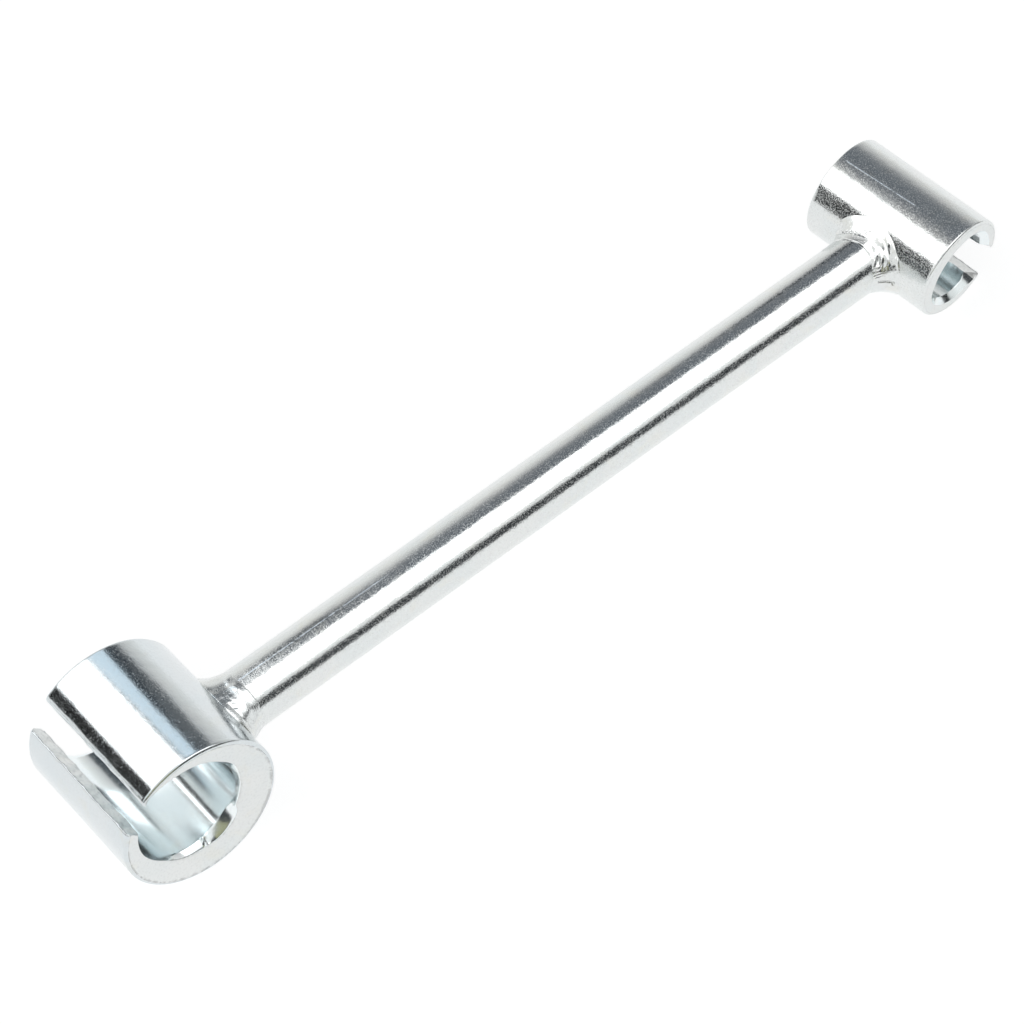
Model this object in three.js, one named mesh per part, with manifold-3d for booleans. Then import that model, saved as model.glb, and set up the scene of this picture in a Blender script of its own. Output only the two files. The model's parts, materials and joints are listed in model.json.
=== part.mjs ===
// Fire hydrant wrench: a round bar with a slotted socket welded crosswise on each end.
//
// Millimetres, +Z up. The wrench lies on the plane Z = 0 on both sockets, with its long side along X and the
// large socket at -X. The origin is the middle of its footprint.
//
// It is built in the wrench's own frame first: the bar's axis is X, the bar's middle is the origin, and the
// large socket's axis is parallel to Y. The whole group is then tipped until the small socket touches the
// ground too.

import * as THREE from "three";
import { mergeVertices } from "three/addons/utils/BufferGeometryUtils.js";
import Module from "manifold-3d";

const wasm = await Module();
wasm.setup();

// ---------------------------------------------------------------- driving dimensions

const SOCKET_SPACING = 235.9; // from one socket's axis to the other's
const HANDLE_RADIUS = 7.94; // 5/8 inch bar
const GAP = 0.3; // left between pieces that touch, so that no two solids overlap

// A socket's angles are in degrees from +X towards +Z, as seen from its near end, which faces -Y.
const LARGE = {
  radius: 20.85,
  length: 40.5,
  shift: 0.9, // the socket's middle lies this far to the far side (+Y) of the bar's axis
  bore: 13.6,
  boreOffset: 4.2, // the bore is off-centre, so the wall is thin at the slot and thick opposite
  boreAngle: 128,
  slotAngle: 139,
  slotWidth: 8.6,
  rimRound: 0.9, // rounding of the outer edge at both ends
  mouthWidth: 1.3, // chamfer of the bore's edge at both ends, across and along the axis
  mouthDepth: 1.6,
  weldOnHandle: 7.0, // how far the bead runs up the bar
  weldOnSocket: 4.6, // how far it spreads over the socket
};
const SMALL = {
  radius: 14.2,
  length: 39.0,
  shift: 1.35,
  bore: 9.6,
  boreOffset: 0.4,
  boreAngle: -50,
  slotAngle: -32,
  slotWidth: 8.6,
  rimRound: 0.8,
  mouthWidth: 1.2,
  mouthDepth: 1.3,
  weldOnHandle: 4.6,
  weldOnSocket: 4.2,
};

// The small socket was welded on a little askew.
const SMALL_YAW = 6.35; // degrees about the vertical
const SMALL_TWIST = 7.5; // degrees about the bar

const WELD_HOLLOW = 0.45; // 0 is a flat fillet, 1 is pulled right into the corner
const WELD_ROOT = 1.0; // how deep the bead's blank reaches into both pieces before it is cut back

const OVERSHOOT = 5; // how far a cutter runs on past what it cuts

// Facets
const SOCKET_SIDES = 96;
const BORE_SIDES = 96;
const HANDLE_SIDES = 64;
const ROUND_STEPS = 4;
const WELD_SIDES = 64;
const WELD_STEPS = 7;

const { PI, sin, cos, asin, atan2, hypot } = Math;
const radians = THREE.MathUtils.degToRad;

// ---------------------------------------------------------------- solids

/** A closed three.js geometry as a manifold solid, with its shared vertices merged. */
function solidOf(geometry) {
  const bare = geometry.clone();
  bare.deleteAttribute("normal");
  bare.deleteAttribute("uv");
  const merged = mergeVertices(bare, 1e-4);
  const mesh = new wasm.Mesh({
    numProp: 3,
    vertProperties: new Float32Array(merged.attributes.position.array),
    triVerts: new Uint32Array(merged.index.array),
  });
  return new wasm.Manifold(mesh);
}

/** A manifold solid back as a three.js geometry. */
function geometryOf(solid) {
  const mesh = solid.getMesh();
  const geometry = new THREE.BufferGeometry();
  geometry.setAttribute("position", new THREE.BufferAttribute(new Float32Array(mesh.vertProperties), 3));
  geometry.setIndex(new THREE.BufferAttribute(new Uint32Array(mesh.triVerts), 1));
  const flat = geometry.toNonIndexed();
  flat.computeVertexNormals();
  return flat;
}

/** A solid turned about Y from a closed profile of [radius, y] points. */
function turned(profile, sides) {
  const points = profile.map(([r, y]) => new THREE.Vector2(r, y));
  return new THREE.LatheGeometry(points, sides);
}

// ---------------------------------------------------------------- sockets

/** The socket's outside: a bar end with both rims rounded. */
function socketBlank({ radius, length, rimRound }) {
  const half = length / 2;
  const profile = [[0, -half]];
  for (let i = 0; i <= ROUND_STEPS; i++) {
    const a = (i / ROUND_STEPS) * (PI / 2);
    profile.push([radius - rimRound * (1 - sin(a)), -half + rimRound * (1 - cos(a))]);
  }
  for (let i = ROUND_STEPS; i >= 0; i--) {
    const a = (i / ROUND_STEPS) * (PI / 2);
    profile.push([radius - rimRound * (1 - sin(a)), half - rimRound * (1 - cos(a))]);
  }
  profile.push([0, half]);
  return turned(profile, SOCKET_SIDES);
}

/** What the bore takes away: a cylinder that flares at both mouths, off the socket's axis. */
function boreCutter({ bore, length, boreOffset, boreAngle, mouthWidth, mouthDepth }) {
  const half = length / 2;
  const past = 1; // how far the cutter runs past each end, still flaring
  const flare = bore + mouthWidth + past * (mouthWidth / mouthDepth);
  const profile = [
    [0, -half - past],
    [flare, -half - past],
    [bore, -half + mouthDepth],
    [bore, half - mouthDepth],
    [flare, half + past],
    [0, half + past],
  ];
  const geometry = turned(profile, BORE_SIDES);
  const a = radians(boreAngle);
  return geometry.translate(boreOffset * cos(a), 0, boreOffset * sin(a));
}

/** What the slot takes away: a straight-sided cut from the bore out through the wall, end to end. */
function slotCutter({ radius, length, slotAngle, slotWidth }) {
  const reach = radius + OVERSHOOT;
  const geometry = new THREE.BoxGeometry(reach, length + 2 * OVERSHOOT, slotWidth);
  geometry.translate(reach / 2, 0, 0);
  return geometry.rotateY(-radians(slotAngle));
}

function socketSolid(size) {
  const blank = solidOf(socketBlank(size));
  return blank.subtract(solidOf(boreCutter(size))).subtract(solidOf(slotCutter(size)));
}

/** Where a socket sits on the bar: end is -1 for the large one and 1 for the small one. */
function socketPlace(size, end, yaw, twist) {
  const place = new THREE.Matrix4().makeTranslation((end * SOCKET_SPACING) / 2, 0, 0);
  place.multiply(new THREE.Matrix4().makeRotationZ(radians(yaw)));
  place.multiply(new THREE.Matrix4().makeRotationX(radians(twist)));
  return place.multiply(new THREE.Matrix4().makeTranslation(0, size.shift, 0));
}

const largePlace = socketPlace(LARGE, -1, 0, 0);
const smallPlace = socketPlace(SMALL, 1, SMALL_YAW, SMALL_TWIST);

/** The space that a socket and its gap take up, for cutting back what is welded to it. */
function socketClearance({ radius, length }, place) {
  const around = radius + GAP;
  const geometry = new THREE.CylinderGeometry(around, around, length + 2 * OVERSHOOT, SOCKET_SIDES);
  return solidOf(geometry.applyMatrix4(place));
}

const largeClearance = socketClearance(LARGE, largePlace);
const smallClearance = socketClearance(SMALL, smallPlace);

// ---------------------------------------------------------------- handle

/** A round bar along X from one socket's axis to the other's. */
function roundBar(radius) {
  const bar = new THREE.CylinderGeometry(radius, radius, SOCKET_SPACING, HANDLE_SIDES);
  return solidOf(bar.rotateZ(PI / 2));
}

/** The handle runs from one socket's wall to the other's, and each end is cut to its socket's curve. */
function handleSolid() {
  return roundBar(HANDLE_RADIUS).subtract(largeClearance).subtract(smallClearance);
}

// ---------------------------------------------------------------- welds

/**
 * The bead's blank, in the socket's frame. It begins as a ring turned about Y, whose profile has two
 * measures: out, from the bar's surface along the socket's, and up, from the socket's surface along the bar.
 * Each vertex is then laid where those measures lead from the seam, where the bar's surface meets the
 * socket's.
 */
function weldBlank({ radius, weldOnHandle, weldOnSocket }, place, end) {
  const toeUp = new THREE.Vector2(0, weldOnHandle);
  const toeOut = new THREE.Vector2(weldOnSocket, 0);
  const middle = toeUp.clone().add(toeOut).multiplyScalar(0.5 * (1 - WELD_HOLLOW));
  const face = new THREE.QuadraticBezierCurve(toeOut, middle, toeUp).getPoints(WELD_STEPS);
  const profile = [
    ...face,
    new THREE.Vector2(-WELD_ROOT, weldOnHandle),
    new THREE.Vector2(-WELD_ROOT, -WELD_ROOT),
    new THREE.Vector2(weldOnSocket, -WELD_ROOT),
    toeOut.clone(),
  ];
  const ring = new THREE.LatheGeometry(
    profile.map(({ x: out, y: up }) => new THREE.Vector2(HANDLE_RADIUS + out, up)),
    WELD_SIDES,
  );
  const toSocket = place.clone().invert();
  const axisPoint = new THREE.Vector3((end * SOCKET_SPACING) / 2, 0, 0).applyMatrix4(toSocket);
  const away = new THREE.Vector3(-end, 0, 0).transformDirection(toSocket);
  const sideways = new THREE.Vector3(0, end, 0).transformDirection(toSocket);
  const upwards = new THREE.Vector3(0, 0, 1).transformDirection(toSocket);
  const position = ring.attributes.position;
  for (let i = 0; i < position.count; i++) {
    const out = hypot(position.getX(i), position.getZ(i)) - HANDLE_RADIUS;
    const turn = atan2(position.getZ(i), position.getX(i));
    const outward = sideways.clone().multiplyScalar(cos(turn)).addScaledVector(upwards, sin(turn));
    const seam = reachSocket(axisPoint.clone().addScaledVector(outward, HANDLE_RADIUS), away, radius);
    const angle = atan2(seam.z, seam.x);
    const round = outward.z * cos(angle) - outward.x * sin(angle);
    const pace = out / hypot(round, outward.y);
    const laid = angle + (pace * round) / radius;
    const point = new THREE.Vector3(radius * cos(laid), seam.y + pace * outward.y, radius * sin(laid));
    point.addScaledVector(away, position.getY(i));
    position.setXYZ(i, point.x, point.y, point.z);
  }
  return ring;
}

/** Where a line from a point, in a direction, leaves a cylinder of the given radius about Y. */
function reachSocket(point, direction, radius) {
  const a = direction.x ** 2 + direction.z ** 2;
  const b = point.x * direction.x + point.z * direction.z;
  const c = point.x ** 2 + point.z ** 2 - radius ** 2;
  return point.addScaledVector(direction, (Math.sqrt(b * b - a * c) - b) / a);
}

/** The bead's blank placed on a socket, on the side where the bar is, and cut back to both pieces. */
function weldSolid(size, place, end, clearance) {
  const blank = weldBlank(size, place, end).applyMatrix4(place);
  return solidOf(blank).subtract(roundBar(HANDLE_RADIUS + GAP)).subtract(clearance);
}

// ---------------------------------------------------------------- assembly

const zinc = { color: 0xc4c8cc, roughness: 0.28, metalness: 1.0 };
const beadZinc = { color: 0xb9bcbd, roughness: 0.38, metalness: 1.0 };

function namedMesh(name, solid, look) {
  const mesh = new THREE.Mesh(geometryOf(solid), new THREE.MeshStandardMaterial(look));
  mesh.name = name;
  return mesh;
}

const handleBar = namedMesh("handle_bar", handleSolid(), zinc);
const largeSocket = namedMesh("large_socket", socketSolid(LARGE), zinc);
const smallSocket = namedMesh("small_socket", socketSolid(SMALL), zinc);
const largeBead = weldSolid(LARGE, largePlace, -1, largeClearance);
const smallBead = weldSolid(SMALL, smallPlace, 1, smallClearance);
const largeWeld = namedMesh("large_socket_weld", largeBead, beadZinc);
const smallWeld = namedMesh("small_socket_weld", smallBead, beadZinc);

largeSocket.applyMatrix4(largePlace);
smallSocket.applyMatrix4(smallPlace);

const wrench = new THREE.Group();
wrench.add(handleBar, largeSocket, smallSocket, largeWeld, smallWeld);

/**
 * The lean at which the small socket first touches the ground, turning about the large socket's axis:
 * each of its vertices meets the ground at its own angle, and the least of them is the first contact.
 */
function restingLean() {
  const position = smallSocket.geometry.attributes.position;
  const point = new THREE.Vector3();
  let least = Infinity;
  for (let i = 0; i < position.count; i++) {
    point.fromBufferAttribute(position, i).applyMatrix4(smallPlace);
    const along = point.x + SOCKET_SPACING / 2;
    const lean = atan2(point.z, along) + asin(LARGE.radius / hypot(along, point.z));
    least = Math.min(least, lean);
  }
  return least;
}

wrench.rotation.y = restingLean();
wrench.updateMatrixWorld(true);
const box = new THREE.Box3().setFromObject(wrench, true);
const middle = box.getCenter(new THREE.Vector3());
wrench.position.set(-middle.x, -middle.y, -box.min.z);

export default wrench;
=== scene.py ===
"""Looks for the fire hydrant wrench: smooth, detailed meshes for the bar, the sockets and the weld beads,
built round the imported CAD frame, in bright zinc plate under studio light.

Lengths are in millimetres until a mesh is made, where MM turns them into Blender's metres."""

import json
from math import asin, cos, pi, radians, sin, sqrt

import bpy
import numpy as np
from mathutils import Matrix, Vector

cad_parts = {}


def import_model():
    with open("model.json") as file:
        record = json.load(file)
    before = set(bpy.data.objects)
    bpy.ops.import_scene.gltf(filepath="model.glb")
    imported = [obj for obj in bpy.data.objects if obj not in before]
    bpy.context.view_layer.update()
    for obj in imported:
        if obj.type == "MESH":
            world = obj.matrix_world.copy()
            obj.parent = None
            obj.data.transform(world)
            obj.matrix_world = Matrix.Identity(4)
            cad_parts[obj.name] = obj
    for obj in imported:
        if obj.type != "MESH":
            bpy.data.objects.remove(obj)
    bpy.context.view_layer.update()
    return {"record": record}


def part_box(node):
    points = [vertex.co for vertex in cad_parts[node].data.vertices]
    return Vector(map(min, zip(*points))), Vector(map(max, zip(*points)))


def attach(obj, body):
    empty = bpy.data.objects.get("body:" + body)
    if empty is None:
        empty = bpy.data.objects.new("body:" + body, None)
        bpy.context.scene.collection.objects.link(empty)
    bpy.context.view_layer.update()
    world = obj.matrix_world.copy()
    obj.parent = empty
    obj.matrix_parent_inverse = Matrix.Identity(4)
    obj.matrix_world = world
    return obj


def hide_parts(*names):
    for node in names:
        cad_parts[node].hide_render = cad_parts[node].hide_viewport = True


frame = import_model()

MM = 0.001
OWN_PLACE = "own_place"  # the mesh attribute that holds each point's place in its piece's own frame

# ---------------------------------------------------------------- driving dimensions

SOCKET_SPACING = 235.9
HANDLE_RADIUS = 7.94
END_GAP = 0.3  # between each end of the bar and its socket, under the weld

# The sizes are the CAD's, apart from the lips, mouths and burrs, which are finer here. Each socket is at one
# end of the bar, and its middle lies a shift to the far side of the bar's axis. Angles go round the socket's
# own axis, in degrees, and rim is the round of its outer edges. At each side of the slot the lip is rolled
# over: lips has how far from the slot that starts, and how deep it goes.
#
# The mouth of each bore was countersunk by hand, so it is wide in places and hardly there in others: mouth
# has its width as (angle, millimetres). Its slope is straight with a mouth_curl of 0 and bulges with one of
# 1. A burr in it is (angle, width in degrees, height), and one of negative height is a nick.
LARGE = dict(
    node="large_socket", end=-1, radius=20.85, length=40.5, shift=0.9, rim=0.9,
    bore=13.6, bore_offset=4.2, bore_angle=128, slot_angle=139, slot_width=8.6,
    lips=((0.4, 0.4), (1.7, 0.8)),
    mouth=((0, 0.7), (20, 1.5), (40, 0.9), (90, 1.1), (105, 1.6), (122, 2.5), (160, 0.4), (195, 0.5),
           (224, 0.15), (238, 0.6), (250, 1.0), (266, 1.3), (271, 1.7), (277, 1.5), (283, 2.5), (298, 2.7),
           (310, 2.5), (316, 2.0), (323, 0.3)),
    mouth_depth=2.1, mouth_curl=0.3, burrs=((274, 1.0, 0.8), (277.5, 1.2, -0.4)),
)
SMALL = dict(
    node="small_socket", end=1, radius=14.2, length=39.0, shift=1.35, rim=0.8,
    bore=9.6, bore_offset=0.4, bore_angle=-50, slot_angle=-32, slot_width=8.6,
    lips=((1.2, 0.8), (0.4, 0.4)),
    mouth=((15, 1.5), (45, 1.8), (75, 1.2), (95, 0.5), (135, 0.3), (165, 0.5), (185, 1.2), (210, 1.4),
           (240, 1.15), (250, 1.15), (262, 1.2), (290, 1.3), (296, 2.2), (310, 2.4)),
    mouth_depth=2.15, mouth_curl=0.0, burrs=(),
)

# ---------------------------------------------------------------- places, from the frame


def mount_axis(name):
    found = next(m for m in frame["record"]["mounts"] if m["name"] == name)
    return Vector(found["axis"]).normalized()


def box_middle(node):
    low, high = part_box(node)
    return (low + high) / 2


def matrix_from(x, y, z, origin):
    return Matrix.Translation(origin) @ Matrix((x, y, z)).transposed().to_4x4()


def in_bar(place):
    """A placement in the bar's frame, in millimetres."""
    local = BAR.inverted() @ place
    local.translation /= MM
    return local


large_axis = mount_axis("large_socket_far_end")
small_axis = mount_axis("small_socket_far_end")
large_middle = box_middle("large_socket")
small_middle = box_middle("small_socket")
bar_start = large_middle - large_axis * LARGE["shift"] * MM
bar_end = small_middle - small_axis * SMALL["shift"] * MM
bar_x = (bar_end - bar_start).normalized()
bar_z = bar_x.cross(large_axis).normalized()
bar_y = bar_z.cross(bar_x)
small_x = small_axis.cross(bar_z).normalized()

BAR = matrix_from(bar_x, bar_y, bar_z, (bar_start + bar_end) / 2)
LARGE["place"] = matrix_from(bar_x, bar_y, bar_z, large_middle)
SMALL["place"] = matrix_from(small_x, small_axis, small_x.cross(small_axis), small_middle)
LARGE["in_bar"], SMALL["in_bar"] = in_bar(LARGE["place"]), in_bar(SMALL["place"])

# ---------------------------------------------------------------- mesh helpers


def waves(u, v, shortest, longest, seed, count=40):
    """Smooth random relief of unit size over u and v, made of sine waves between two wavelengths."""
    rng = np.random.default_rng(seed)
    total = np.zeros(np.broadcast(u, v).shape)
    for _ in range(count):
        length = shortest * (longest / shortest) ** rng.random()
        turn, phase = rng.random(2) * 2 * pi
        total = total + np.sin(2 * pi / length * (u * cos(turn) + v * sin(turn)) + phase)
    return total / sqrt(count / 2)


def smoothstep(low, high, x):
    t = np.clip((x - low) / (high - low), 0, 1)
    return t * t * (3 - 2 * t)


def bell(x, middle, width):
    """1 in the middle, falling smoothly to 0 on both sides."""
    return np.exp(-(((x - middle) / width) ** 2))


def crowded(count, ease=0.85):
    """Steps from 0 to 1 that crowd towards both ends."""
    t = np.linspace(0, 1, count)
    return t - ease * np.sin(2 * pi * t) / (2 * pi)


def degrees_past(turns, centre):
    """How far turns, in radians, are past a centre in degrees, from -180 to 180."""
    return (np.degrees(turns) - centre + 180) % 360 - 180


def make_object(name, points, faces, materials, face_materials=None, place=Matrix.Identity(4)):
    """A shaded mesh object from points in millimetres. The mesh is moved to its place in the CAD frame, and
    keeps its own coordinates in the attribute that its materials read."""
    local = np.asarray(points) * MM
    mesh = bpy.data.meshes.new(name)
    mesh.from_pydata(local.tolist(), [], faces)
    for material in materials:
        mesh.materials.append(material)
    if face_materials is not None:
        mesh.polygons.foreach_set("material_index", np.asarray(face_materials, np.int32))
    mesh.attributes.new(OWN_PLACE, "FLOAT_VECTOR", "POINT").data.foreach_set("vector", local.ravel())
    mesh.shade_smooth()
    mesh.transform(place)
    mesh.update()
    made = bpy.data.objects.new(name, mesh)
    bpy.context.scene.collection.objects.link(made)
    return made


def ring_faces(rows, columns, closed=False):
    """Quads over rows of points, each row a closed ring. closed also joins the last row to the first."""
    faces = []
    for row in range(rows if closed else rows - 1):
        here, there = row * columns, (row + 1) % rows * columns
        for c in range(columns):
            d = (c + 1) % columns
            faces.append((here + c, here + d, there + d, there + c))
    return faces


# ---------------------------------------------------------------- materials


def set_stops(node, stops):
    """Gives a colour ramp its (position, grey or colour) stops."""
    elements = node.color_ramp.elements
    while len(elements) < len(stops):
        elements.new(0.5)
    for element, (position, shade) in zip(elements, stops):
        element.position = position
        element.color = (shade, shade, shade, 1) if isinstance(shade, (int, float)) else (*shade, 1)


class Nodes:
    """A few words for wiring a material."""

    def __init__(self, name):
        self.material = bpy.data.materials.new(name)
        self.material.use_nodes = True
        self.tree = self.material.node_tree
        self.shader = self.tree.nodes["Principled BSDF"]
        self.place = self.add("ShaderNodeAttribute", attribute_name=OWN_PLACE).outputs["Vector"]

    def add(self, kind, **settings):
        node = self.tree.nodes.new(kind)
        for key, value in settings.items():
            setattr(node, key, value)
        return node

    def link(self, source, target):
        if isinstance(source, (int, float, tuple)):
            target.default_value = source
        else:
            self.tree.links.new(source, target)

    def pattern(self, kind, size, stretch):
        """A texture on the piece's own coordinates, about size millimetres from blotch to blotch, and longer
        where stretch is more than 1."""
        mapping = self.add("ShaderNodeMapping")
        self.link(self.place, mapping.inputs["Vector"])
        mapping.inputs["Scale"].default_value = [1 / (size * MM * s) for s in stretch]
        node = self.add(kind)
        self.link(mapping.outputs["Vector"], node.inputs["Vector"])
        node.inputs["Scale"].default_value = 1.0
        return node

    def noise(self, size, detail=3.0, rough=0.55, stretch=(1, 1, 1), warp=0.0):
        """Noise from 0 to 1."""
        node = self.pattern("ShaderNodeTexNoise", size, stretch)
        node.inputs["Detail"].default_value = detail
        node.inputs["Roughness"].default_value = rough
        node.inputs["Distortion"].default_value = warp
        return node.outputs["Fac"]

    def cells(self, size):
        """Distance to the nearest of a scatter of points."""
        return self.pattern("ShaderNodeTexVoronoi", size, (1, 1, 1)).outputs["Distance"]

    def ramp(self, value, *stops):
        """Maps value through (position, grey or colour) stops."""
        node = self.add("ShaderNodeValToRGB")
        self.link(value, node.inputs["Fac"])
        set_stops(node, stops)
        return node.outputs["Color"]

    def maths(self, operation, a, b=0.0):
        node = self.add("ShaderNodeMath", operation=operation)
        self.link(a, node.inputs[0])
        self.link(b, node.inputs[1])
        return node.outputs[0]

    def plus(self, total, value, share):
        """The total with a share of the value added."""
        return self.maths("ADD", total, self.maths("MULTIPLY", value, share))

    def mix(self, share, a, b):
        node = self.add("ShaderNodeMix", data_type="RGBA")
        self.link(share, node.inputs["Factor"])
        self.link(a, node.inputs["A"])
        self.link(b, node.inputs["B"])
        return node.outputs["Result"]

    def bump(self, height, depth, below=None):
        """Relief depth millimetres deep."""
        node = self.add("ShaderNodeBump")
        self.link(height, node.inputs["Height"])
        node.inputs["Distance"].default_value = depth * MM
        if below is not None:
            self.link(below, node.inputs["Normal"])
        return node.outputs["Normal"]


ZINC = (0.76, 0.775, 0.77)
# The large socket's tone, darker and bluer than ZINC: painted shade over that whole socket.
LARGE_SOCKET_PAINTED_SHADE_TONE = (0.70, 0.735, 0.75)
BORE_TONE = (0.86, 0.905, 0.915)
BLUE_TINT = (0.92, 0.965, 0.985, 1)
STRAW_TINT = (1.0, 0.97, 0.90, 1)
DULL_GREY = (0.42, 0.43, 0.44, 1)
# Pale blue for the hair lines: a painted reflection, a light streak laid into the dark bands.
PAINTED_REFLECTION_BLUE = (0.80, 0.90, 1.0, 1)

# How many millimetres each pattern in the plate is from blotch to blotch.
CLOUDS, STRAW, PEBBLES, BREAKS = 14, 9, 2.6, 2.2
FLECKS, HOLLOWS, LINES, GRAINS, FINE_PEBBLES = 0.7, 0.5, 0.35, 0.3, 0.26


def tinted(tone, tint):
    return tuple(a * b for a, b in zip((*tone, 1), tint))


# The hair line is a scratch in its roughness and relief, and a painted reflection in the pale blue that
# zinc() mixes into it.
def drawn_line(n, side, along, angle, drift, start, stop, width):
    """1 on a hair line drawn along a round piece, 0 off it. angle is where it lies on the round, in degrees,
    drift how much that changes in each millimetre, start and stop where it begins and ends, and width how
    wide it is, in tenths of a radian."""
    parts = n.add("ShaderNodeSeparateXYZ")
    n.link(n.place, parts.inputs[0])
    run = n.maths("DIVIDE", parts.outputs[along], MM)
    turn = n.maths("ARCTAN2", parts.outputs["Z"], parts.outputs[side])
    turn = n.maths("SUBTRACT", turn, n.maths("MULTIPLY", run, radians(drift)))
    gap = n.maths("ABSOLUTE", n.maths("SUBTRACT", turn, radians(angle)))
    line = n.ramp(n.maths("MULTIPLY", gap, 10.0), (0.06, 1.0), (width, 0.0))
    middle = n.maths("ABSOLUTE", n.maths("SUBTRACT", run, (start + stop) / 2))
    ends = n.ramp(n.maths("DIVIDE", middle, abs(stop - start)), (0.42, 1.0), (0.52, 0.0))
    broken = n.ramp(n.noise(BREAKS, detail=2), (0.36, 0.25), (0.5, 1.0))
    return n.maths("MULTIPLY", n.maths("MULTIPLY", line, ends), broken)


def zinc(name, gloss, grain, relief, tone=ZINC, grime=0.0, grain_depth=0.0, pits=0.0, specks=0.0,
         scratch_and_reflection=None):
    """Bright zinc plate. gloss is the mean roughness, grain the stretch of its drawn lines along the piece's
    axes, relief, grain_depth and pits the depths in millimetres of its pebbling, lines and pits, tone its
    colour, grime how much darker its dull flecks are, specks how matt its finest grains are, and
    scratch_and_reflection what drawn_line needs for a hair line: a scratch with a painted reflection on it."""
    n = Nodes(name)
    clouds = n.noise(CLOUDS, detail=4, warp=0.6)
    blue = n.ramp(clouds, (0.38, 0.0), (0.62, 1.0))
    colour = n.mix(n.maths("MULTIPLY", blue, 0.4), (*tone, 1), tinted(tone, BLUE_TINT))
    straw = n.ramp(n.noise(STRAW, detail=3, warp=1.0), (0.56, 0.0), (0.72, 1.0))
    colour = n.mix(n.maths("MULTIPLY", straw, 0.4), colour, tinted(tone, STRAW_TINT))
    dull = n.ramp(n.noise(FLECKS, detail=4), (0.50, 0.0), (0.66, 1.0))
    colour = n.mix(n.maths("MULTIPLY", dull, 0.08 + grime), colour, DULL_GREY)

    lines = n.noise(LINES, detail=2, stretch=grain)
    rough = n.plus(gloss - 0.05, clouds, 0.06)
    rough = n.plus(rough, lines, 0.05)
    rough = n.plus(rough, dull, 0.06)
    if specks:
        grains = n.ramp(n.noise(GRAINS, detail=2, rough=0.7), (0.50, 0.0), (0.60, 1.0))
        rough = n.plus(rough, grains, specks)

    normal = n.bump(lines, grain_depth) if grain_depth else None
    normal = n.bump(n.noise(PEBBLES, detail=1), relief, normal)
    normal = n.bump(n.noise(FINE_PEBBLES, detail=1), 0.3 * relief, normal)
    if pits:
        hollow = n.ramp(n.cells(HOLLOWS), (0.0, 0.0), (0.36, 1.0))
        normal = n.bump(hollow, pits, normal)
    # A scratch, rougher and a little sunk, whose pale blue colour is a painted reflection.
    if scratch_and_reflection:
        line = drawn_line(n, **scratch_and_reflection)
        rough = n.plus(rough, line, 0.25)
        colour = n.mix(n.maths("MULTIPLY", line, 0.7), colour, PAINTED_REFLECTION_BLUE)
        normal = n.bump(line, 0.02, normal)

    n.shader.inputs["Metallic"].default_value = 1.0
    n.link(colour, n.shader.inputs["Base Color"])
    n.link(rough, n.shader.inputs["Roughness"])
    n.link(normal, n.shader.inputs["Normal"])
    return n.material


ALONG_X, ALONG_Y = (60, 1, 1), (1, 60, 1)
# Where the hair lines lie: scratches, each with a painted reflection in pale blue along it.
BAR_SCRATCH_AND_REFLECTION = dict(side="Y", along="X", angle=92, drift=0, start=-96, stop=-48, width=0.34)
SMALL_SCRATCH_AND_REFLECTION = dict(side="X", along="Y", angle=96, drift=0.16, start=-6, stop=19, width=0.14)

bar_zinc = zinc(
    "bar_zinc", gloss=0.10, grain=ALONG_X, relief=0.045, grain_depth=0.004, pits=0.012, specks=0.20,
    scratch_and_reflection=BAR_SCRATCH_AND_REFLECTION,
)
small_socket_zinc = zinc(
    "small_socket_zinc", gloss=0.10, grain=ALONG_Y, relief=0.045, grain_depth=0.003, pits=0.012,
    specks=0.24, scratch_and_reflection=SMALL_SCRATCH_AND_REFLECTION,
)
# Its darker, bluer tone is painted shade.
large_socket_zinc = zinc(
    "large_socket_zinc", gloss=0.09, grain=ALONG_Y, relief=0.035, grain_depth=0.003, pits=0.012,
    specks=0.14, tone=LARGE_SOCKET_PAINTED_SHADE_TONE,
)
bore_zinc = zinc(
    "bore_zinc", gloss=0.15, grain=(3, 60, 3), relief=0.006, grain_depth=0.004, tone=BORE_TONE, grime=-0.04,
)
face_zinc = zinc("face_zinc", gloss=0.36, grain=(4, 1, 4), relief=0.012, pits=0.02, grime=0.06)
sawn_zinc = zinc(
    "sawn_zinc", gloss=0.34, grain=(1, 1, 30), relief=0.04, grain_depth=0.03, pits=0.05, grime=0.34,
)
large_bead_zinc = zinc("large_bead_zinc", gloss=0.25, grain=(1, 1, 1), relief=0.02, pits=0.03, grime=0.06)
small_bead_zinc = zinc("small_bead_zinc", gloss=0.14, grain=(1, 1, 1), relief=0.02, pits=0.03, grime=0.06)

# ---------------------------------------------------------------- sockets

OUTSIDE, BORE, FACE, SAWN = range(4)
SOCKET_EDGE = 0.16  # the round of every sharp edge
SAW_REACH = 1.6  # how far the marks of the saw go into the wall


def bore_centre(size):
    angle = radians(size["bore_angle"])
    return size["bore_offset"] * np.array([cos(angle), sin(angle)])


def bore_limit(size, side):
    """The angle, about the bore's own centre, at which the bore meets one side of the slot."""
    slot = radians(size["slot_angle"])
    reach = side * size["slot_width"] / 2 - bore_centre(size) @ (-sin(slot), cos(slot))
    return slot + asin(reach / size["bore"])


def mouth_width(size, angles):
    """The width of the countersink at each angle, softened a little between its given points."""
    turns, widths = zip(*size["mouth"])
    steps = np.radians((-3, -1, 1, 3))
    found = [np.interp(np.degrees(angles + step) % 360, turns, widths, period=360) for step in steps]
    return sum(found) / len(steps)


def lip_drop(away, reach, depth):
    """How far a surface has sunk, away from an edge that is rounded over reach, down to not quite upright."""
    inside = np.clip(1 - away / reach, 0, 1)
    return depth * (1 - np.sqrt(1 - 0.98 * inside ** 2))


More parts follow.
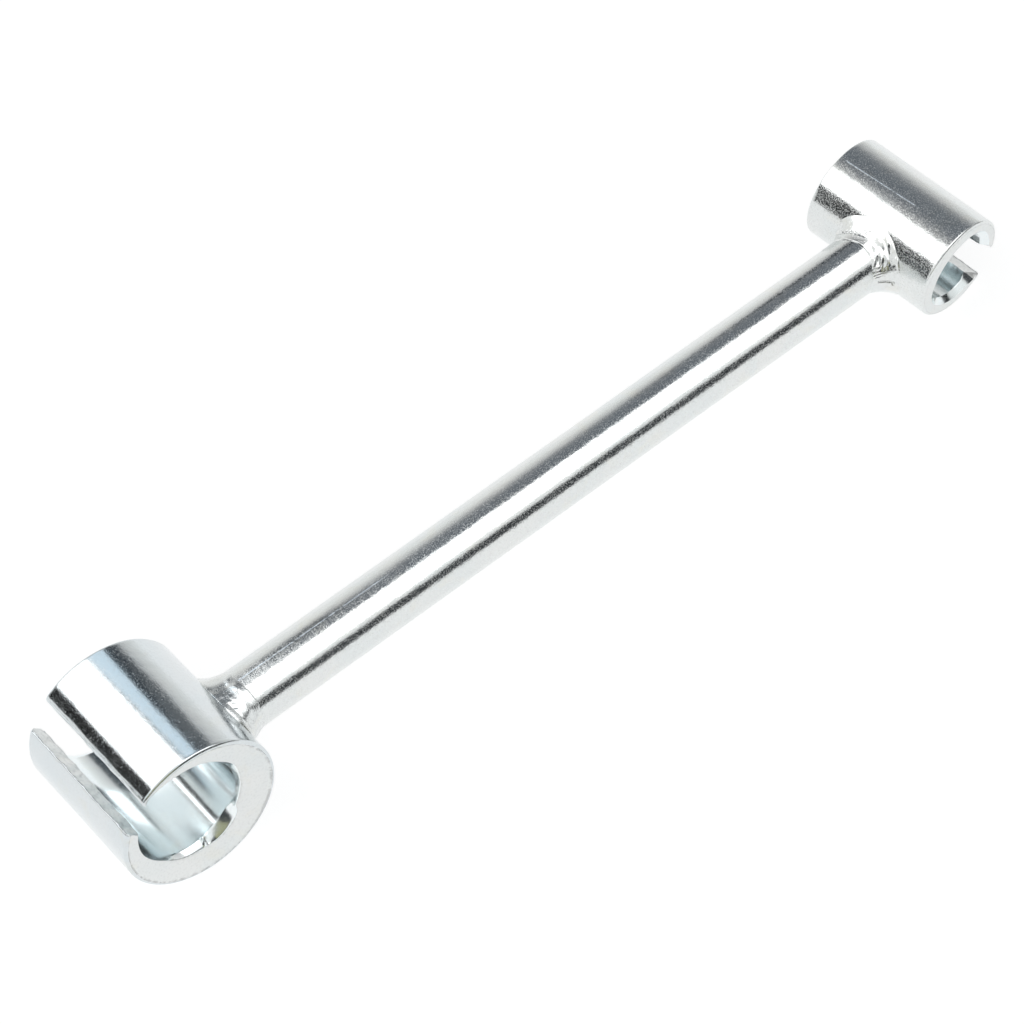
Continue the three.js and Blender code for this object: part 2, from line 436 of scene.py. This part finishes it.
def rim_profile(size, count):
    """A rounded rim with a flatter facet in it, from the end face of the tube to its outside: how far along
    from the face, and how far in from the outside, each step is."""
    lengths = np.r_[0, np.full(count - 1, 1 / (count - 1))]
    share = np.cumsum(lengths)
    lean = np.radians(np.interp(share, (0, 0.35, 0.75, 1), (0, 50, 64, 90)))
    along = np.cumsum(np.cos(lean) * lengths)
    inward = np.cumsum(np.sin(lean) * lengths)
    scale = size["rim"] / inward[-1]
    return ((along - along[-1]) * scale)[::-1], (inward * scale)[::-1]


def around_axis(angles, radius, y):
    """Points on rings about the y axis."""
    x, y, z = np.broadcast_arrays(radius * np.cos(angles), y, radius * np.sin(angles))
    return np.stack([x, y, z], -1)


def tube_outside(size, share, middle, edge, seed):
    """The outside of the tube, with rounded rims, and rolled lips at the slot. share is how far each column
    is from one side of the slot to the other, and middle how far along each row between the rims is."""
    half = size["length"] / 2
    back, inward = rim_profile(size, edge)
    y = np.r_[-half - back, middle * (half + back[-1]), half + back[::-1]][:, None]
    radius = (np.r_[-inward, 0 * middle, -inward[::-1]] + size["radius"])[:, None]
    give = np.arcsin(size["slot_width"] / 2 / radius)
    angles = radians(size["slot_angle"]) + give + share * (2 * pi - 2 * give)
    radius = radius + 0.010 * waves(angles * size["radius"], y * 0.35, 9, 30, seed)
    for side, (reach, depth) in zip((share, 1 - share), size["lips"]):
        away = side[None, :] * 2 * pi * size["radius"]
        roll = reach * (1 + 0.04 * waves(y, 0, 5, 14, seed + 4) + 0.01 * waves(y, 0, 1.2, 3, seed + 5))
        rolled = smoothstep(0.1, 0.5, 1 - away / roll)
        radius = radius - lip_drop(away, roll, depth)
        radius = radius + 0.02 * depth * waves(away, y * 0.15, 0.5, 1.3, seed + 6) * rolled
    return around_axis(angles, radius, y)


def tube_inside(size, share, middle, edge, seed):
    """The bore, with a countersunk mouth at each end that is deeper where it is wider."""
    half = size["length"] / 2
    angles = (bore_limit(size, 1) + share * (bore_limit(size, -1) + 2 * pi - bore_limit(size, 1)))[None, :]
    wide = mouth_width(size, angles)
    deep = size["mouth_depth"] * (0.45 + 0.55 * wide / wide.max())
    sunk = (np.linspace(0, 1, edge) ** 2)[:, None]
    y = np.concatenate([-half + deep * sunk, middle[:, None] * (half - deep), half - deep * sunk[::-1]])
    opened = 1 - size["mouth_curl"] * np.sqrt(sunk) - (1 - size["mouth_curl"]) * sunk
    opened = np.concatenate([opened, 0 * middle[:, None], opened[::-1]])
    radius = size["bore"] + 0.02 * waves(angles * size["bore"], y * 0.2, 6, 20, seed + 1) + wide * opened
    for turn, width, height in size["burrs"]:
        radius = radius - height * bell(degrees_past(angles, turn), 0, width) * 4 * opened * (1 - opened)
    x, z = bore_centre(size)
    return around_axis(angles, radius, y) + (x, 0, z)


def saw_marks(size, points, share, seed):
    """Moves the two cut faces across the slot, where the saw wandered a little and its teeth left them
    uneven."""
    slot = radians(size["slot_angle"])
    across = np.array([-sin(slot), 0, cos(slot)])
    for side, draw in ((share, 2), (1 - share, 3)):
        fade = bell(side * 2 * pi * size["radius"], 0, SAW_REACH)
        y = points[..., 1]
        radial = np.hypot(points[..., 0], points[..., 2])
        wander = 0.07 * waves(y, radial * 0.3, 3, 14, seed + draw)
        wander += 0.03 * waves(y, radial * 0.5, 0.7, 2.0, seed + draw + 7)
        points = points + (wander * fade[None, :, None])[..., None] * across
    return points


def socket_points(size, seed, around=420, along=76, edge=11, through=9):
    """The lattice of a slotted tube: rows along it, columns round it from one side of the slot to the other,
    and layers through its wall from the bore outwards."""
    share = crowded(around)
    middle = np.linspace(-1, 1, along)[1:-1]
    inner = tube_inside(size, share, middle, edge, seed)[:, :, None]
    outer = tube_outside(size, share, middle, edge, seed)[:, :, None]
    depth = np.linspace(0, 1, through)[:, None]
    return saw_marks(size, inner * (1 - depth) + outer * depth, share, seed)


def skin(points):
    """Joins the six sides of a socket's lattice into faces, welded along their edges."""
    number = -np.ones(points.shape[:3], int)
    on_skin = np.zeros(number.shape, bool)
    on_skin[[0, -1]] = True
    on_skin[:, [0, -1]] = True
    on_skin[:, :, [0, -1]] = True
    number[on_skin] = np.arange(on_skin.sum())
    faces, kinds = [], []

    def lay(plane, kind, flip):
        a, b, c, d = plane[:-1, :-1], plane[:-1, 1:], plane[1:, 1:], plane[1:, :-1]
        quads = np.stack([a, b, c, d], -1).reshape(-1, 4)
        faces.extend((quads[:, ::-1] if flip else quads).tolist())
        kinds.extend([kind] * len(quads))

    lay(number[:, :, -1], OUTSIDE, True)
    lay(number[:, :, 0], BORE, False)
    lay(number[0], FACE, True)
    lay(number[-1], FACE, False)
    lay(number[:, 0], SAWN, False)
    lay(number[:, -1], SAWN, True)
    return points[on_skin], faces, kinds


def soften(made, width, angle=28, segments=3):
    """A small round on every sharp edge."""
    bevel = made.modifiers.new("edge", "BEVEL")
    bevel.width = width * MM
    bevel.segments = segments
    bevel.limit_method = "ANGLE"
    bevel.angle_limit = radians(angle)
    bevel.use_clamp_overlap = True
    bevel.material = -1


def socket(size, outside, seed):
    vertices, faces, kinds = skin(socket_points(size, seed))
    materials = [outside, bore_zinc, face_zinc, sawn_zinc]
    made = make_object(size["node"] + "_skin", vertices, faces, materials, kinds, size["place"])
    soften(made, SOCKET_EDGE)
    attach(made, "root")
    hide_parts(size["node"])


socket(LARGE, large_socket_zinc, seed=11)
socket(SMALL, small_socket_zinc, seed=31)

# ---------------------------------------------------------------- seams, where the bar meets a socket


def seam(size, turns, out, up):
    """Points laid from the seam, in the bar's frame: out along the socket's surface and up along the bar's.
    turns go round the bar. The CAD's weld beads are laid in the same way."""
    end = size["end"]
    turn_in = np.array(size["in_bar"].to_3x3().transposed())
    middle = np.array(size["in_bar"].translation)
    axis_point = turn_in @ (np.array([end * SOCKET_SPACING / 2, 0, 0]) - middle)
    away = turn_in @ np.array([-end, 0, 0])
    sideways = turn_in @ np.array([0, end, 0])
    upwards = turn_in @ np.array([0, 0, 1])
    outward = sideways * np.cos(turns)[..., None] + upwards * np.sin(turns)[..., None]

    # Each line along the bar's surface starts inside the socket and leaves it at its foot, at the positive
    # root of a * t * t + 2 * b * t + c = 0.
    start = axis_point + outward * HANDLE_RADIUS
    radius = size["radius"]
    a = away[0] ** 2 + away[2] ** 2
    b = start[..., 0] * away[0] + start[..., 2] * away[2]
    c = start[..., 0] ** 2 + start[..., 2] ** 2 - radius ** 2
    foot = start + away * ((np.sqrt(b * b - a * c) - b) / a)[..., None]

    angle = np.arctan2(foot[..., 2], foot[..., 0])
    round_share = outward[..., 2] * np.cos(angle) - outward[..., 0] * np.sin(angle)
    pace = out / np.hypot(round_share, outward[..., 1])
    laid = angle + pace * round_share / radius
    points = around_axis(laid, radius, foot[..., 1] + pace * outward[..., 1])
    return (points + away * up[..., None]) @ turn_in + middle


# ---------------------------------------------------------------- handle


def handle(around=160, along=460):
    turns = np.linspace(0, 2 * pi, around, endpoint=False)
    zero = np.zeros(around)
    first = seam(LARGE, pi - turns, zero, zero + END_GAP)
    last = seam(SMALL, turns, zero, zero + END_GAP)
    share = np.linspace(0, 1, along)[:, None]
    x = first[:, 0] * (1 - share) + last[:, 0] * share
    bend = 0.008 * waves(x * 0.25, turns * HANDLE_RADIUS, 7, 30, seed=5)
    bend += 0.006 * waves(x, turns * HANDLE_RADIUS, 12, 40, seed=6)
    radius = HANDLE_RADIUS + bend * (np.abs(share - 0.5) < 0.49)
    points = np.stack([x, radius * np.cos(turns), radius * np.sin(turns)], -1).reshape(-1, 3)
    faces = [face[::-1] for face in ring_faces(along, around)]
    faces.append(tuple(range(around))[::-1])
    faces.append(tuple(range((along - 1) * around, along * around)))
    made = make_object("handle_bar_skin", points, faces, [bar_zinc], place=BAR)
    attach(made, "root")
    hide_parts("handle_bar")


handle()

# ---------------------------------------------------------------- welds

BURIED = 0.6  # how deep a bead's hidden back goes into the bar and the socket
HOLLOW = 0.46  # 0 is a flat fillet, and 1 is pulled well into the corner


def lobe(turns, centre, width):
    """1 at a turn, in degrees, and fading to 0 a width away."""
    return 1 - smoothstep(0.3 * width, width, np.abs(degrees_past(turns, centre)))


def groove(turns, turn, width):
    """1 on a line across a bead, at one turn, and 0 away from it."""
    return bell(degrees_past(turns, turn), 0, width)


def hump(turns, s, turn, width, place, breadth):
    """A rounded hump of unit height on a bead, at a turn and a place between its toes."""
    return groove(turns, turn, width) * bell(s, place, breadth)


def legs(*points):
    """A bead's leg, in millimetres, as it goes round the bar, from (turn, leg) points."""
    given, lengths = zip(*points)
    return lambda turns: np.interp(np.degrees(turns) % 360, given, lengths, period=360)


def weld(size, plate, on_handle, on_socket, steps, relief, seed, around=560, across=56):
    """A fillet bead round the bar, with ragged toes. At each turn, on_handle and on_socket give its two legs,
    steps the height of its edge on the socket and on the handle, and relief what stands out of its face,
    which runs from the socket (0) to the handle (1)."""
    turns = np.linspace(0, 2 * pi, around, endpoint=False)[:, None]
    s = crowded(across, 0.5)[None, :]
    ragged = 0.2 * waves(turns * 8, 0 * turns, 3, 14, seed + 1)
    reach_out, reach_up = on_socket(turns) + 0.6 * ragged, on_handle(turns) + ragged
    bend = (1 - HOLLOW) * s * (1 - s)
    arc = turns * (HANDLE_RADIUS + 2)
    step_socket, step_handle = steps(turns)
    edge = step_socket * (1 - s) + step_handle * s
    edge = edge * smoothstep(0, 0.05, s) * (1 - smoothstep(0.95, 1, s))
    swell = relief(turns, s, arc) + 0.05 * waves(arc, s * 6, 3, 10, seed + 2)
    lift = (edge + swell * np.sin(pi * s) ** 0.5) / sqrt(2)
    buried = np.full_like(turns, -BURIED)
    out = np.concatenate([reach_out * ((1 - s) ** 2 + bend) + lift, buried, buried, reach_out], 1)
    up = np.concatenate([reach_up * (s ** 2 + bend) + lift, reach_up, buried, buried], 1)
    points = seam(size, np.broadcast_to(turns, out.shape), out, up)
    faces = ring_faces(around, points.shape[1], closed=True)
    made = make_object(size["node"] + "_weld_bead", points.reshape(-1, 3), faces, [plate], place=BAR)
    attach(made, "root")
    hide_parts(size["node"] + "_weld")


def large_relief(t, s, arc):
    """Lumps near the top, a few round drops and the last ripples of the bead by the handle, a ridge and a
    valley along the socket, and two pits."""
    lumps = 0.035 * waves(arc, s * 8, 1.2, 3.5, 54) * lobe(t, 66, 40) * bell(s, 0.40, 0.2)
    drops = 0.60 * hump(t, s, 76, 12, 0.80, 0.10) + 0.30 * hump(t, s, 104, 8, 0.84, 0.09)
    drops = drops + 0.25 * hump(t, s, 42, 15, 0.60, 0.13)
    ripples = 0.06 * np.sin(2 * pi * (s - 0.04 * np.cos(3 * t)) / 0.06)
    ripples = ripples * lobe(t, 36, 26) * smoothstep(0.76, 0.86, s)
    ridge = 0.14 * bell(s, 0.12, 0.05) * (0.2 + lobe(t, 18, 38))
    valley = -0.12 * bell(s, 0.26, 0.05) * lobe(t, 30, 50)
    pits = -0.7 * hump(t, s, -2, 4.5, 0.78, 0.06) - 0.4 * hump(t, s, 93, 3, 0.70, 0.04)
    return lumps + drops + ripples + ridge + valley + pits


def small_relief(t, s, arc):
    """A smooth saddle on top with a valley along the handle, streaks and scratches beside it, a dotted seam
    below, and three pits."""
    saddle = 0.10 * lobe(t, 85, 62) * np.sin(pi * s) ** 2
    streaks = 0.17 * waves(arc * 0.35, s * 6, 0.9, 1.7, 64) * lobe(t, 137, 26)
    scratches = 0.05 * waves(arc, s * 0.7, 0.4, 0.9, 66) * lobe(t, 162, 20) * smoothstep(0.6, 0.9, s)
    dots = 0.25 + 0.75 * np.sin(pi * s / 0.07) ** 2
    valley = -0.6 * bell(s, 0.66 + 0.015 * np.sin(5 * arc), 0.028) * lobe(t, 66, 36)
    seam_line = -0.70 * groove(t, 186 - 8 * s, 2.2) * dots
    seam_line = seam_line * smoothstep(0.25, 0.35, s) * (1 - smoothstep(0.8, 0.9, s))
    pits = -0.9 * hump(t, s, 186, 3.5, 0.26, 0.07) - 0.6 * hump(t, s, 42, 4, 0.30, 0.10)
    pits = pits - 0.6 * hump(t, s, 44, 4, 0.55, 0.07)
    return saddle + valley + streaks + scratches + seam_line + pits


weld(
    LARGE, large_bead_zinc, seed=51, relief=large_relief,
    on_handle=legs((0, 5.4), (40, 6.4), (75, 7.2), (110, 6.6), (150, 5.2), (270, 4.6)),
    on_socket=legs((0, 3.4), (40, 2.0), (75, 1.2), (110, 1.4), (150, 2.4), (180, 3.4), (270, 3.8)),
    steps=lambda t: (0.10 + 0.16 * lobe(t, 15, 45), 0.08 + 0.22 * lobe(t, 50, 45)),
)
weld(
    SMALL, small_bead_zinc, seed=61, relief=small_relief,
    on_handle=legs((0, 2.4), (36, 2.8), (46, 4.4), (90, 4.3), (180, 4.4), (225, 5.0), (280, 4.0), (330, 2.6)),
    on_socket=legs((0, 1.6), (36, 1.9), (46, 3.8), (90, 3.8), (180, 4.2), (225, 4.9), (280, 3.8), (330, 1.9)),
    steps=lambda t: (0.05 + 0.10 * lobe(t, 140, 30), 0.06 + 0.34 * lobe(t, 85, 50)),
)

# ---------------------------------------------------------------- stage

FLOOR_REACH = 6000
DARK = (0.85, 0.93, 1.0)
NAVY = (0.62, 0.80, 1.0)
WHITE = (1, 1, 1)
OLIVE = (1.0, 1.0, 0.62)
PALE_BLUE = (0.78, 0.92, 1.02)


def rectangle(w, h):
    """The corners and the one face of a flat rectangle about the origin, from half its width and height."""
    return [(-w, -h, 0), (w, -h, 0), (w, h, 0), (-w, h, 0)], [(0, 1, 2, 3)]


def paper(name, shade, glow):
    """The floor's paper: it gives off most of its own light, so that shadows on it stay faint."""
    n = Nodes(name)
    n.shader.inputs["Base Color"].default_value = (shade, shade, shade, 1)
    n.shader.inputs["Roughness"].default_value = 0.9
    n.shader.inputs["Specular IOR Level"].default_value = 0.0
    n.shader.inputs["Emission Color"].default_value = (1, 1, 1, 1)
    n.shader.inputs["Emission Strength"].default_value = glow
    return n.material


def floor():
    made = make_object("floor", *rectangle(FLOOR_REACH, FLOOR_REACH), [paper("floor_paper", 0.45, 0.735)])


floor()


def card_light(name, shade, glow, fade):
    """A plain light of the colour shade and the strength glow. fade is the share of the card's width and of
    its height over which it melts away towards the edges."""
    n = Nodes(name)
    n.tree.nodes.remove(n.shader)
    light = n.add("ShaderNodeEmission")
    light.inputs["Color"].default_value = (*shade, 1)
    light.inputs["Strength"].default_value = glow
    clear = n.add("ShaderNodeBsdfTransparent")
    parts = n.add("ShaderNodeSeparateXYZ")
    n.link(n.add("ShaderNodeTexCoord").outputs["UV"], parts.inputs[0])
    cover = 1.0
    for axis, edge in zip("XY", fade):
        gap = n.maths("ABSOLUTE", n.maths("SUBTRACT", parts.outputs[axis], 0.5))
        inside = n.add("ShaderNodeMapRange", interpolation_type="SMOOTHSTEP")
        n.link(gap, inside.inputs["Value"])
        inside.inputs["From Min"].default_value = 0.5
        inside.inputs["From Max"].default_value = 0.5 * (1 - edge)
        cover = n.maths("MULTIPLY", inside.outputs["Result"], cover)
    blend = n.add("ShaderNodeMixShader")
    n.link(cover, blend.inputs["Fac"])
    n.link(clear.outputs[0], blend.inputs[1])
    n.link(light.outputs[0], blend.inputs[2])
    n.link(blend.outputs[0], n.tree.nodes["Material Output"].inputs["Surface"])
    return n.material


def card(name, centre, size, facing, shade, glow, fade):
    """A studio card that only shows in reflections. centre is in millimetres, size its width and height,
    facing the point it looks at, and shade, glow and fade are its light's."""
    light = card_light(name + "_card", shade, glow, fade)
    made = make_object(name, *rectangle(size[0] / 2, size[1] / 2), [light])
    corners = made.data.uv_layers.new(name="card")
    corners.data.foreach_set("uv", [0, 0, 1, 0, 1, 1, 0, 1])
    toward = (Vector(facing) - Vector(centre)).normalized()
    up = Vector((0, 1, 0)) if abs(toward.z) > 0.7 else Vector((0, 0, 1))
    across = up.cross(toward).normalized()
    made.matrix_world = matrix_from(across, toward.cross(across), toward, Vector(centre) * MM)
    made.visible_camera = False
    made.visible_diffuse = False
    made.visible_shadow = False
    made.visible_transmission = False


# Two soft boxes overhead, one in front and one to the left.
card("front_box", (260, -332, 500), (640, 635), (260, -332, 0), WHITE, 2.0, fade=(0.1, 0.03))
card("left_box", (-318, 260, 500), (694, 560), (-318, 260, 0), WHITE, 2.0, fade=(0.02, 0.1))
# The dark room beyond the table's front edge, something olive there, and dark gaps at the right and left.
card("front_room", (150, -400, 92), (2000, 206), (150, 0, 92), DARK, 0.05, fade=(0.1, 0.1))
card("table_edge", (-190, -392, 105), (250, 150), (-190, 0, 105), OLIVE, 0.36, fade=(0.25, 0.2))
card("right_gap", (620, -265, 65), (370, 130), (0, -265, 65), DARK, 0.02, fade=(0.1, 0.1))
card("left_gap_low", (-500, 150, 275), (180, 500), (0, 150, 275), DARK, 0.01, fade=(0.1, 0.12))
card("left_gap_high", (-500, 360, 384), (320, 222), (0, 360, 384), DARK, 0.0, fade=(0.1, 0.05))
# Small dark cards close to the small socket's mouth, the large socket's lip and the bar.
card("small_gap", (222, -49, 24), (40, 44), (117, -20, 8), DARK, 0.02, fade=(0.1, 0.1))
card("lip_gap", (-131.9, 6, 47), (6.2, 47), (-131.9, 6, 0), DARK, 0.0, fade=(0.25, 0.03))
card("shade", (-57, 33, 78), (32, 56), (-60, 0, 38), DARK, 0.15, fade=(0.45, 0.9))
# A pale reflector close behind the large socket, and a dark flag that only that socket sees.
card("reflector", (-92.5, 24, 76), (16, 54), (-111, 0, 41), PALE_BLUE, 1.05, fade=(0.06, 0.1))
card("flag", (842, 924, 840), (400, 680), (-115, 0, 20), NAVY, 0.05, fade=(0.3, 0.5))

# The ceiling's darkest place, and its colour at so many degrees from there.
DARK_AZIMUTH, DARK_ELEVATION = 106, 58
CEILING = (
    (60, (0.95, 0.96, 0.95)),
    (50, (0.79, 0.79, 0.77)),
    (41, (0.63, 0.63, 0.63)),
    (34, (0.40, 0.405, 0.41)),
    (28, (0.26, 0.27, 0.285)),
    (21, (0.19, 0.205, 0.225)),
    (8, (0.15, 0.168, 0.19)),
)


def direction(azimuth, elevation):
    """A unit vector that azimuth turns from the front to the right, and elevation raises, in degrees."""
    a, e = radians(azimuth), radians(elevation)
    return Vector((sin(a) * cos(e), -cos(a) * cos(e), sin(e)))


def world():
    """A bright room whose ceiling is dark to the right and behind."""
    made = bpy.data.worlds.new("studio")
    made.use_nodes = True
    tree = made.node_tree
    place = tree.nodes.new("ShaderNodeTexCoord")
    toward = tree.nodes.new("ShaderNodeVectorMath")
    toward.operation = "DOT_PRODUCT"
    toward.inputs[1].default_value = direction(DARK_AZIMUTH, DARK_ELEVATION)
    ramp = tree.nodes.new("ShaderNodeValToRGB")
    set_stops(ramp, [(cos(radians(angle)), shade) for angle, shade in CEILING])
    tree.links.new(place.outputs["Generated"], toward.inputs[0])
    tree.links.new(toward.outputs["Value"], ramp.inputs["Fac"])
    tree.links.new(ramp.outputs["Color"], tree.nodes["Background"].inputs["Color"])
    tree.nodes["Background"].inputs["Strength"].default_value = 1.0
    bpy.context.scene.world = made


world()

# ---------------------------------------------------------------- camera, fitted to the photograph

AZIMUTH, ELEVATION, ROLL = -28.457, 51.344, 13.13
DISTANCE = 823.6
AIM = Vector((-9.98, -4.29, 22.0))
FOCAL, SENSOR = 120.42, 36


def camera():
    back = direction(AZIMUTH, ELEVATION)
    level = Vector((cos(radians(AZIMUTH)), sin(radians(AZIMUTH)), 0))
    right = Matrix.Rotation(-radians(ROLL), 3, back) @ level
    data = bpy.data.cameras.new("camera")
    data.sensor_width = SENSOR
    data.lens = FOCAL
    data.clip_start = 0.05
    data.clip_end = 50
    made = bpy.data.objects.new("camera", data)
    made.matrix_world = matrix_from(right, back.cross(right), back, (AIM + back * DISTANCE) * MM)
    bpy.context.scene.collection.objects.link(made)
    bpy.context.scene.camera = made


camera()
bpy.context.scene.view_settings.view_transform = "Standard"
